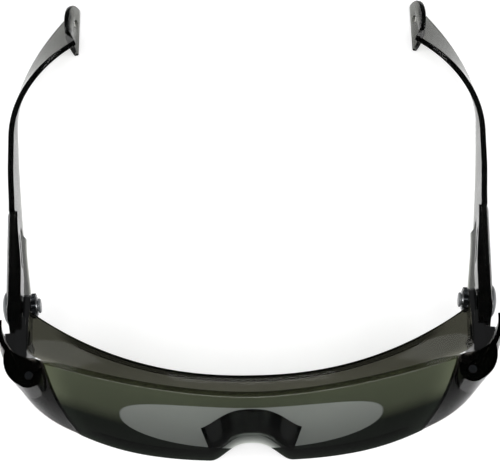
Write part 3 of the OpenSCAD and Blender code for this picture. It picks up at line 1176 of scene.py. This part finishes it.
# --------------------------------------------------------------------- temple
@dataclass(frozen=True)
class TempleFrame:
    """The right temple's own frame: origin on the tilt rivet, x outwards, y along, z up."""

    plan: FrontPlan
    splay: float = 4.3
    rivet_y: float = 26.2
    rivet_z: float = 31.3
    slope: float = 12.51518391683302

    @property
    def rivet_x(self) -> float:
        """Distance of the sleeve's outer face from the middle, at the rivet."""
        return self.plan.half_w - 1.7

    def matrix(self) -> Matrix:
        """The frame in plan millimetres."""
        origin = Vector((self.rivet_x, self.plan.pin_y + self.rivet_y, self.rivet_z))
        return (Matrix.Translation(origin) @ Matrix.Rotation(math.radians(-self.splay), 4, "Z")
                @ Matrix.Rotation(math.radians(-self.slope), 4, "X"))

    def grid(self, points: Grid) -> Grid:
        """A grid of temple points, in plan millimetres."""
        m = self.matrix()
        return [[m @ p for p in row] for row in points]

    def tube(self, shop: Workshop, r: float, x0: float, x1: float, n: int = 64) -> bpy.types.Object:
        """A cylinder along the frame's x.

        Args:
            shop: The mesh workshop.
            r: The radius.
            x0: The inner end.
            x1: The outer end.
            n: How many sides.

        Returns:
            The cylinder.
        """
        m = self.matrix()
        ring = [m @ Vector((x0, r * math.cos(math.tau * i / n), r * math.sin(math.tau * i / n)))
                for i in range(n)]
        return shop.solid("tube", ring, m.to_3x3() @ Vector((x1 - x0, 0, 0)))

    def block(self, shop: Workshop, low: Vector, size: Vector) -> bpy.types.Object:
        """A box in the temple's frame.

        Args:
            shop: The mesh workshop.
            low: Its lowest corner.
            size: Its size.

        Returns:
            The box.
        """
        m = self.matrix()
        corners = [low, low + Vector((size.x, 0, 0)), low + Vector((size.x, size.y, 0)),
                   low + Vector((0, size.y, 0))]
        return shop.solid("block", [m @ p for p in corners], m.to_3x3() @ Vector((0, 0, size.z)))


@dataclass
class TempleSleeve:
    """The front half of a temple: a top beam round the tongue, with a thin skirt below."""

    frame: TempleFrame
    wall: float = 5.0
    length: float = 34.0
    top: float = 7.6
    low: float = -12.5
    front_r: float = 13.5
    rear_wall: float = 3.6
    tongue_t: float = 1.4
    tongue_h: float = 4.6
    tongue_z: float = 4.2
    tongue_len: float = 24.0
    stop_l: float = 3.0
    travel: float = 10.0
    gap: float = 0.3
    rivet_r: float = 1.8

    def crest(self, y: float) -> float:
        """Height of the sleeve's upper edge."""
        return self.top - 2.6 * smooth(-y, -1, 11)

    def outer(self, y: float, z: float) -> float:
        """The outer face."""
        return (-0.9 * smooth(z, 5, self.top) - 4 * min(1.0, max(0.0, (0.5 - z) / 13)) ** 1.5
                - 1.2 * smooth(-y, 4, 13))

    def inner(self, y: float, z: float) -> float:
        """The inner face: the beam's, or the thin skirt's below it."""
        beam = mix(self.wall, self.rear_wall, smooth(y, 8, self.length))
        return mix(self.outer(y, z) - 1.8, -beam, smooth(z, -1.5, 1))

    def build(self, shop: Workshop, rack: FinishRack) -> None:
        """Makes both sleeves.

        Args:
            shop: The mesh workshop.
            rack: The finishes.
        """
        frame_, material = self.frame, rack["sleeve_polyamide"]
        face, back = [], []
        for i in eased(61, 0.5):
            row_out, row_in = [], []
            for k in sorted(set(eased(37, 0.3) + [0.5, 0.53, 0.56, 0.59, 0.62])):
                z0 = mix(self.low, self.crest(-self.front_r), k)
                y = mix(-math.sqrt(self.front_r ** 2 - z0 * z0), self.length, i)
                z = mix(mix(self.low, -9, smooth(y, 5, self.length)), self.crest(y), k)
                row_out.append(Vector((self.outer(y, z), y, z)))
                row_in.append(Vector((self.inner(y, z), y, z)))
            face.append(row_out)
            back.append(row_in)
        obj = shop.shell("temple_sleeve_shell_right", frame_.grid(face), frame_.grid(back), material, 0.35)
        shop.join_by(obj, frame_.tube(shop, self.rivet_r + 3.2, -self.wall, -0.9), "UNION")
        stop_y = self.length - self.tongue_len + 3
        slot = frame_.block(
            shop, Vector((-self.rear_wall / 2 - self.tongue_t / 2 - self.gap, stop_y - 4,
                          self.tongue_z - self.tongue_h / 2 - self.gap)),
            Vector((self.tongue_t + 2 * self.gap, self.length, self.tongue_h + 2 * self.gap)))
        window = frame_.block(
            shop, Vector((-self.rear_wall / 2 - 8, stop_y - self.gap, self.tongue_z - 1 - self.gap)),
            Vector((8, self.stop_l + self.travel + 2 * self.gap, 2 + 2 * self.gap)))
        for tool in (frame_.tube(shop, self.rivet_r + 0.02, -self.wall - 4, 4), slot, window):
            shop.join_by(obj, tool, "DIFFERENCE")
        shop.close(obj)
        shop.shade(obj)
        dress(obj, material)
        hand_in_pair(obj, "sleeve", "sleeve_black", "temple_sleeve")


@dataclass
class TempleArm:
    """The rear half of a temple: a twisted, inward-bending blade, its tongue and the end tab."""

    frame: TempleFrame
    sleeve: TempleSleeve
    wall: float = 2.0
    straight: float = 33.0
    bend_r: float = 52.0
    bend_turn: float = 53.0
    foot: float = -9.0
    foot_in: float = 1.4
    flare: float = 19.0
    tab_len: float = 20.0
    tab_h: float = 11.0
    tab_t: float = 1.8
    tab_lean: float = 17.0
    tab_drop: float = 6.3
    hole_r: float = 1.5

    @property
    def start_y(self) -> float:
        """Front end of the blade."""
        return self.sleeve.length + self.sleeve.gap

    @property
    def bend_y(self) -> float:
        """Where the inward bend starts."""
        return self.start_y + self.straight

    @property
    def turn(self) -> float:
        """The whole turn of the bend in the temple's frame, degrees."""
        return self.bend_turn + self.frame.splay

    @property
    def path_len(self) -> float:
        """Length of the blade along its upper edge."""
        return self.straight + math.radians(self.bend_r * self.turn)

    def path(self, s: float) -> Vector:
        """Plan point at distance s along the blade."""
        a = max(0.0, s - self.straight) / self.bend_r
        return Vector((-self.bend_r * (1 - math.cos(a)),
                       self.start_y + min(s, self.straight) + self.bend_r * math.sin(a), 0))

    def lower(self, s: float) -> Vector:
        """Lower edge of the blade's outer face."""
        r = s / self.path_len
        y = self.path(s).y + self.flare * (smooth(r, 0.3, 1.25) / smooth(1, 0.3, 1.25)) ** 1.5
        w, front = y - self.bend_y - 14, self.start_y - self.bend_y - 14
        x = -self.foot_in * (w / front) ** 2 if w < 0 else -0.0733 * w - w * w / 152.5
        return Vector((x, y, mix(self.foot, -1.6, smooth(r, -0.1, 0.65)) + 0.9 * r))

    def upper(self, s: float) -> Vector:
        """Upper edge of the blade's outer face."""
        p = self.path(s)
        return Vector((p.x - 0.6 * (1 - smooth(s, 0, 20)), p.y, self.sleeve.top))

    def point(self, s: float, k: float, side: float) -> Vector:
        """A point of the blade.

        Args:
            s: The distance along it.
            k: 0 at the upper edge to 1 at the lower.
            side: 0 on the outer face, 1 on the inner.

        Returns:
            The point.
        """
        ahead, behind = self.upper(min(self.path_len, s + 1)), self.upper(max(0, s - 1))
        n = (ahead - behind).cross(self.upper(s) - self.lower(s)).normalized()
        return mix(self.upper(s), self.lower(s), k) - side * self.wall * n

    def tab_matrix(self) -> Matrix:
        """The end tab's frame, inside the temple's."""
        end = self.path(self.path_len)
        return (Matrix.Translation(Vector((end.x + 1.6, end.y + 5, -self.tab_drop)))
                @ Matrix.Rotation(math.radians(self.frame.slope), 4, "X")
                @ Matrix.Rotation(math.radians(self.frame.splay), 4, "Z")
                @ Matrix.Rotation(math.radians(self.tab_lean), 4, "Y"))

    def tab(self, shop: Workshop) -> bpy.types.Object:
        """Makes the end tab: a straight lower edge and a bowed upper edge.

        Args:
            shop: The mesh workshop.

        Returns:
            The tab.
        """
        m = self.frame.matrix() @ self.tab_matrix()
        outline = [m @ Vector((-self.tab_t, self.tab_len / 2 * (1 - cos_deg(a)),
                               self.tab_h * max(0.0, sin_deg(a)) ** 0.8))
                   for a in span(0, 180, 61)]
        tab = shop.solid("tab", outline, m.to_3x3() @ Vector((self.tab_t, 0, 0)))
        shop.round_edges(tab, 0.45, 60)
        return tab

    def build(self, shop: Workshop, rack: FinishRack) -> None:
        """Makes both arms.

        Args:
            shop: The mesh workshop.
            rack: The finishes.
        """
        frame_, sleeve, material = self.frame, self.sleeve, rack["temple_polyamide"]
        ss = sorted(set(span(0, self.straight, 28) + span(self.straight, self.path_len, 65)))
        ks = eased(25, 0.4)
        face = [[self.point(s, 1 - k, 0) for k in ks] for s in ss]
        back = [[self.point(s, 1 - k, 1) for k in ks] for s in ss]
        obj = shop.shell("temple_arm_blade_right", frame_.grid(face), frame_.grid(back), material, 0.5)
        shop.join_by(obj, self.tab(shop), "UNION")
        m = frame_.matrix() @ self.tab_matrix()
        hole = [m @ Vector((-3, self.tab_len * 0.6 + self.hole_r * math.cos(math.tau * i / 48),
                            3.4 + self.hole_r * math.sin(math.tau * i / 48))) for i in range(48)]
        shop.join_by(obj, shop.solid("cutter", hole, m.to_3x3() @ Vector((5, 0, 0))), "DIFFERENCE")
        tongue = frame_.block(
            shop, Vector((-sleeve.rear_wall / 2 - sleeve.tongue_t / 2, sleeve.length - sleeve.tongue_len,
                          sleeve.tongue_z - sleeve.tongue_h / 2)),
            Vector((sleeve.tongue_t, sleeve.tongue_len + 4, sleeve.tongue_h)))
        shop.join_by(obj, tongue, "UNION")
        shop.close(obj)
        shop.shade(obj)
        dress(obj, material)
        hand_in_pair(obj, "arm", "arm_smoke", "temple_arm")


@dataclass
class TiltRatchet:
    """The rivet that a temple tilts on, with its toothed disc and click spring."""

    frame: TempleFrame
    head_r: float = 5.2
    shank_r: float = 1.8
    tail_x: float = -9.8
    tail_t: float = 0.7
    disc_x: float = -7.8
    disc_t: float = 1.3
    disc_r: float = 4.2
    teeth: int = 18
    tooth_deep: float = 0.57

    def rivet(self, shop: Workshop) -> bpy.types.Object:
        """Makes the rivet as one turned profile.

        Args:
            shop: The mesh workshop.

        Returns:
            The rivet.
        """
        r, h = self.shank_r, self.head_r
        tail = self.tail_x
        dome = [(h, 0.1), (h, 0.42), (h * 0.97, 0.62), (h * 0.9, 0.86), (h * 0.8, 1.12),
                (h * 0.62, 1.4), (h * 0.45, 1.56), (h * 0.22, 1.67), (0, 1.7)]
        end = tail - self.tail_t
        profile = [(0, end), (r + 0.4, end), (r + 0.6, end + 0.2), (r + 0.6, tail), (r, tail),
                   (r, 0.1)] + dome
        mesh = bpy.data.meshes.new("tilt_rivet_turned")
        m = self.frame.matrix()
        with editing(mesh) as work:
            verts = [work.verts.new((x, radius, 0)) for radius, x in profile]
            edges = [work.edges.new(pair) for pair in zip(verts, verts[1:])]
            bmesh.ops.spin(work, geom=verts + edges, cent=(0, 0, 0), axis=(1, 0, 0), dvec=(0, 0, 0),
                           angle=math.tau, steps=72)
            bmesh.ops.remove_doubles(work, verts=work.verts, dist=1e-5)
            for vert in work.verts:
                vert.co = shop.place(m @ vert.co)
            bmesh.ops.recalc_face_normals(work, faces=work.faces)
        obj = shop.new_object("tilt_rivet_turned_right", mesh)
        shop.close(obj)
        shop.shade(obj, 35)
        return obj

    def disc(self, shop: Workshop, material: bpy.types.Material) -> bpy.types.Object:
        """Makes the ratchet disc: a hub with one tooth set at each step round it.

        Args:
            shop: The mesh workshop.
            material: The finish.

        Returns:
            The disc.
        """
        root, inner = self.disc_r - self.tooth_deep, self.shank_r + 0.02
        hub = bpy.data.meshes.new("hub")
        n = 72
        with editing(hub) as work:
            rings = [[work.verts.new((r * MM * math.cos(math.tau * i / n),
                                      r * MM * math.sin(math.tau * i / n), z * MM)) for i in range(n)]
                     for r, z in ((inner, 0), (root, 0), (root, self.disc_t), (inner, self.disc_t))]
            for a, b in zip(rings, rings[1:] + rings[:1]):
                for i in range(n):
                    work.faces.new((a[i], a[(i + 1) % n], b[(i + 1) % n], b[i]))
            bmesh.ops.recalc_face_normals(work, faces=work.faces)
        obj = shop.new_object("ratchet_disc_toothed_right", hub)
        half = math.pi * root / self.teeth * 0.98
        outline = [(-0.3, -half), (0, -half), (self.tooth_deep, -half * 0.35),
                   (self.tooth_deep, half * 0.35), (0, half), (-0.3, half)]
        low, high = ([(x * MM, y * MM, z * MM) for x, y in outline] for z in (0, self.disc_t))
        tooth = shop.new_object("tooth", prism("tooth", low, high))
        nodes = obj.modifiers.new("Teeth", "NODES")
        nodes.node_group = shop.teeth_tree
        shop.set_input(nodes, "Tooth", tooth)
        shop.set_input(nodes, "Count", self.teeth)
        shop.set_input(nodes, "Radius", root * MM)
        shop.set_input(nodes, "Material", material)
        shop.bake(obj)
        bpy.data.objects.remove(tooth)
        m = self.frame.matrix() @ Matrix(((0, 0, 1, self.disc_x - self.disc_t), (1, 0, 0, 0),
                                          (0, 1, 0, 0), (0, 0, 0, 1)))
        with editing(obj.data) as work:
            for vert in work.verts:
                vert.co = shop.place(m @ (vert.co / MM))
            bmesh.ops.recalc_face_normals(work, faces=work.faces)
        shop.shade(obj, 30)
        return obj

    def build(self, shop: Workshop, rack: FinishRack) -> None:
        """Makes the rivets and discs and dresses the springs, on both sides.

        Args:
            shop: The mesh workshop.
            rack: The finishes.
        """
        rivet = dress(self.rivet(shop), rack["rivet_grey_acetal"])
        disc = self.disc(shop, rack["pin_turned_steel"])
        hand_in_pair(rivet, "sleeve", "rivet_grey", "tilt_rivet")
        hand_in_pair(disc, "sleeve", "steel", "ratchet_disc")
        for side in Side:
            dress_node("click_spring_" + side.label, rack["spring_rolled_steel"])


def dress_node(node: str, material: bpy.types.Material) -> None:
    """Gives a CAD node that stays in view its finish.

    Args:
        node: The CAD node.
        material: The finish.
    """
    obj = frame["nodes"][node]
    obj.data.materials.clear()
    obj.data.materials.append(material)
    LOG.info("%s: CAD node, dressed in %s", node, material.name)


@dataclass
class FoldHinge:
    """The fold hinges: the pins, the black links and the stops in the sleeves."""

    shield: SideShield
    temple: TempleFrame
    round_mm: float = 0.25
    clear: float = 0.45
    cap_low: float = 27.5
    cap_top: float = 39.1
    cap_rear: float = 15.8
    cap_in: float = 0.2
    cap_out: float = 3.0
    sleeve_r: float = 13.9
    trim_deep: float = 7.0
    cutter_h: float = 20.0

    def cap(self, shop: Workshop) -> bpy.types.Object:
        """Makes the shoulder that fills the corner between the lug, the wall and the sleeve.

        Args:
            shop: The mesh workshop.

        Returns:
            The right-hand shoulder.
        """
        shield = self.shield
        pin = Vector((shield.plan.pin_x, shield.plan.pin_y, 0))
        outline = []
        for t in span(0.25, 1, 26):
            p = shield.point(t, 1) + (shield.thick(t) + self.clear) * shield.inward(t, 1) - pin
            if p.x > self.cap_out and p.y < self.cap_rear:
                outline.append(Vector((p.x, p.y, 0)))
        outline += [Vector((x, y, 0)) for x, y in ((outline[-1].x, self.cap_rear),
                                                   (self.cap_in, self.cap_rear), (self.cap_in, 10.5),
                                                   (1.5, 8.5))]
        low = pin + Vector((0, 0, self.cap_low))
        up = Vector((0, 0, self.cap_top - self.cap_low))
        cap = shop.solid("shoulder", [low + p for p in outline], up)
        shop.join_by(cap, self.temple.tube(shop, self.sleeve_r, -16, 6), "DIFFERENCE")
        shop.round_edges(cap, 0.3, 35)
        return cap

    def trims(self) -> list[list[Vector]]:
        """The link's corners that would cut into the wall: over the slot, and by the seam when folded.

        Returns:
            The outline of each cut, at its foot.
        """
        plan = self.shield.plan
        over = ((1.0, 4.5), (8, 4.5), (8, 11), (6.6, 9.6), (5.4, 8.3), (3.8, 7.1), (1.9, 6.0))
        seam = ((0.3, 5.4), (2.1, 5.75), (0.5, 7.4))
        return [[Vector((plan.pin_x + x, plan.pin_y + y, low)) for x, y in path]
                for path, low in ((over, self.shield.knuckle_top + 0.06),
                                  (seam, self.cap_low - self.trim_deep))]

    def build(self, shop: Workshop, rack: FinishRack) -> None:
        """Makes the links and dresses the pins and stops.

        Args:
            shop: The mesh workshop.
            rack: The finishes.
        """
        link = shop.copy_of("hinge_link_right", "hinge_link_moulded_right")
        shop.round_edges(link, self.round_mm, 35)
        for outline in self.trims():
            shop.join_by(link, shop.solid("cutter", outline, Vector((0, 0, self.cutter_h))), "DIFFERENCE")
        shop.join_by(link, self.cap(shop), "UNION")
        shop.close(link)
        shop.shade(link)
        dress(link, rack["hinge_black_polyamide"])
        hand_in_pair(link, "link", "hinge_black", "hinge_link")
        for side in Side:
            dress_node("hinge_pin_" + side.label, rack["pin_turned_steel"])
            dress_node("length_stop_" + side.label, rack["hinge_black_polyamide"])


# ---------------------------------------------------------------------- studio
@dataclass
class Studio:
    """Floor, lamps, world and camera."""

    azimuth: float = 0.0
    elevation: float = 66.5
    distance_mm: float = 481.0
    aim_mm: tuple[float, float, float] = (-1.0, -13.4, 20.0)
    lens_mm: float = 100.8
    roll: float = 0.84
    shift: float = 0.009
    even_from_m: float = 0.25
    even_to_m: float = 0.8
    floor_glow: float = 0.42

    def floor(self) -> None:
        """A plain pale floor that is white in the view and keeps the shadow."""
        mesh = bpy.data.meshes.new("floor")
        s = 4.0
        mesh.from_pydata([(-s, -s, 0), (s, -s, 0), (s, s, 0), (-s, s, 0)], [], [(0, 1, 2, 3)])
        obj = Workshop.new_object("floor", mesh)
        obj.location.z = -0.0002
        material = bpy.data.materials.new("white_board")
        material.use_nodes = True
        tree = material.node_tree
        tree.nodes.clear()
        out = add_node(tree, "ShaderNodeOutputMaterial")
        board = add_node(tree, "ShaderNodeBsdfDiffuse", values={"Color": linear("E4E4E4")})
        glow = add_node(tree, "ShaderNodeEmission", values={"Strength": self.floor_glow})
        lit = add_node(tree, "ShaderNodeAddShader", links={0: board.outputs[0], 1: glow.outputs[0]})
        # well away from the goggles the board turns to an even white, so that it meets the backdrop
        place = add_node(tree, "ShaderNodeTexCoord")
        away = add_node(tree, "ShaderNodeVectorMath", {"operation": "LENGTH"},
                        links={0: place.outputs["Object"]})
        fade = add_node(tree, "ShaderNodeMapRange", {"interpolation_type": "SMOOTHSTEP"},
                        {"From Min": self.even_from_m, "From Max": self.even_to_m},
                        {"Value": away.outputs["Value"]})
        even = add_node(tree, "ShaderNodeEmission", values={"Strength": 1.0})
        shown = add_node(tree, "ShaderNodeMixShader",
                         links={0: fade.outputs[0], 1: lit.outputs[0], 2: even.outputs[0]})
        both = add_node(tree, "ShaderNodeMixShader",
                        links={0: self.seen(tree), 1: board.outputs[0], 2: shown.outputs[0]})
        tree.links.new(both.outputs[0], out.inputs["Surface"])
        mesh.materials.append(material)

    @staticmethod
    def seen(tree: bpy.types.NodeTree) -> bpy.types.NodeSocket:
        """1 for camera, glossy and transmission rays.

        Args:
            tree: The node tree.

        Returns:
            The socket with that value.
        """
        path = add_node(tree, "ShaderNodeLightPath")
        first = maths(tree, "MAXIMUM", path.outputs["Is Camera Ray"], path.outputs["Is Glossy Ray"])
        return maths(tree, "MAXIMUM", first, path.outputs["Is Transmission Ray"])

    def world(self) -> None:
        """A soft grey room that is white where it is seen directly."""
        world = bpy.data.worlds.new("studio")
        bpy.context.scene.world = world
        world.use_nodes = True
        tree = world.node_tree
        tree.nodes.clear()
        out = add_node(tree, "ShaderNodeOutputWorld")
        path = add_node(tree, "ShaderNodeLightPath")
        room = add_node(tree, "ShaderNodeBackground", values={"Color": (1, 1, 1, 1), "Strength": 0.30})
        white = add_node(tree, "ShaderNodeBackground", values={"Color": (1, 1, 1, 1), "Strength": 1.0})
        seen = maths(tree, "MAXIMUM", path.outputs["Is Camera Ray"], path.outputs["Is Transmission Ray"])
        both = add_node(tree, "ShaderNodeMixShader",
                        links={0: seen, 1: room.outputs[0], 2: white.outputs[0]})
        tree.links.new(both.outputs[0], out.inputs["Surface"])

    def lamp(self, name: str, place: tuple[float, float, float], size: tuple[float, float],
             power: float) -> None:
        """A soft rectangular lamp that points at the goggles.

        Args:
            name: The lamp's name.
            place: Where it stands, metres.
            size: Its width and height, metres.
            power: Its power, watts.
        """
        data = bpy.data.lights.new(name, "AREA")
        data.shape = "RECTANGLE"
        data.size, data.size_y = size
        data.energy = power
        lamp = bpy.data.objects.new(name, data)
        bpy.context.scene.collection.objects.link(lamp)
        lamp.location = place
        lamp.rotation_euler = (-Vector(place)).to_track_quat("-Z", "Y").to_euler()

    def camera(self) -> None:
        """The camera, looking down on the front of the goggles."""
        data = bpy.data.cameras.new("camera")
        camera = bpy.data.objects.new("camera", data)
        scene = bpy.context.scene
        scene.collection.objects.link(camera)
        scene.camera = camera
        aim = Vector(self.aim_mm) * MM
        out = Vector((sin_deg(self.azimuth) * cos_deg(self.elevation),
                      -cos_deg(self.azimuth) * cos_deg(self.elevation), sin_deg(self.elevation)))
        camera.location = aim + out * self.distance_mm * MM
        camera.matrix_world = (Matrix.Translation(camera.location)
                               @ (-out).to_track_quat("-Z", "Y").to_matrix().to_4x4()
                               @ Matrix.Rotation(math.radians(-self.roll), 4, "Z"))
        data.lens = self.lens_mm
        data.sensor_width = 36.0
        data.shift_x = self.shift
        data.clip_start = 0.01

    def build(self) -> None:
        """Sets the stage."""
        self.floor()
        self.world()
        self.lamp("softbox_above", (0.0, -0.65, 1.4), (1.3, 0.8), 14.0)
        self.lamp("softbox_left", (-1.3, -0.1, 0.8), (0.5, 1.0), 7.0)
        self.lamp("softbox_right", (1.3, -0.1, 0.8), (0.5, 1.0), 7.0)
        self.camera()
        bpy.context.scene.view_settings.view_transform = "Standard"


def pin_plan_y(plan: FrontPlan) -> float:
    """How far the plan is moved along Y, worked out from the hinge pin's box.

    Args:
        plan: The front's rules.

    Returns:
        The move, millimetres.
    """
    low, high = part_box("hinge_pin_right")
    return (low.y + high.y) / 2 / MM - plan.pin_y


def main() -> None:
    """Builds the goggles piece by piece, then the studio."""
    logging.basicConfig(level=logging.INFO, format="%(name)s: %(message)s")
    plan = FrontPlan()
    rack = FinishRack()
    shop = Workshop(pin_plan_y(plan))
    temple = TempleFrame(plan)
    sleeve = TempleSleeve(temple)
    shield = SideShield(plan)
    for part in (Lens(plan), BrowGuard(plan), NoseSaddle(plan), shield, FoldHinge(shield, temple), sleeve,
                 TiltRatchet(temple), TempleArm(temple, sleeve)):
        part.build(shop, rack)
    Studio().build()


if __name__ == "__main__":
    main()
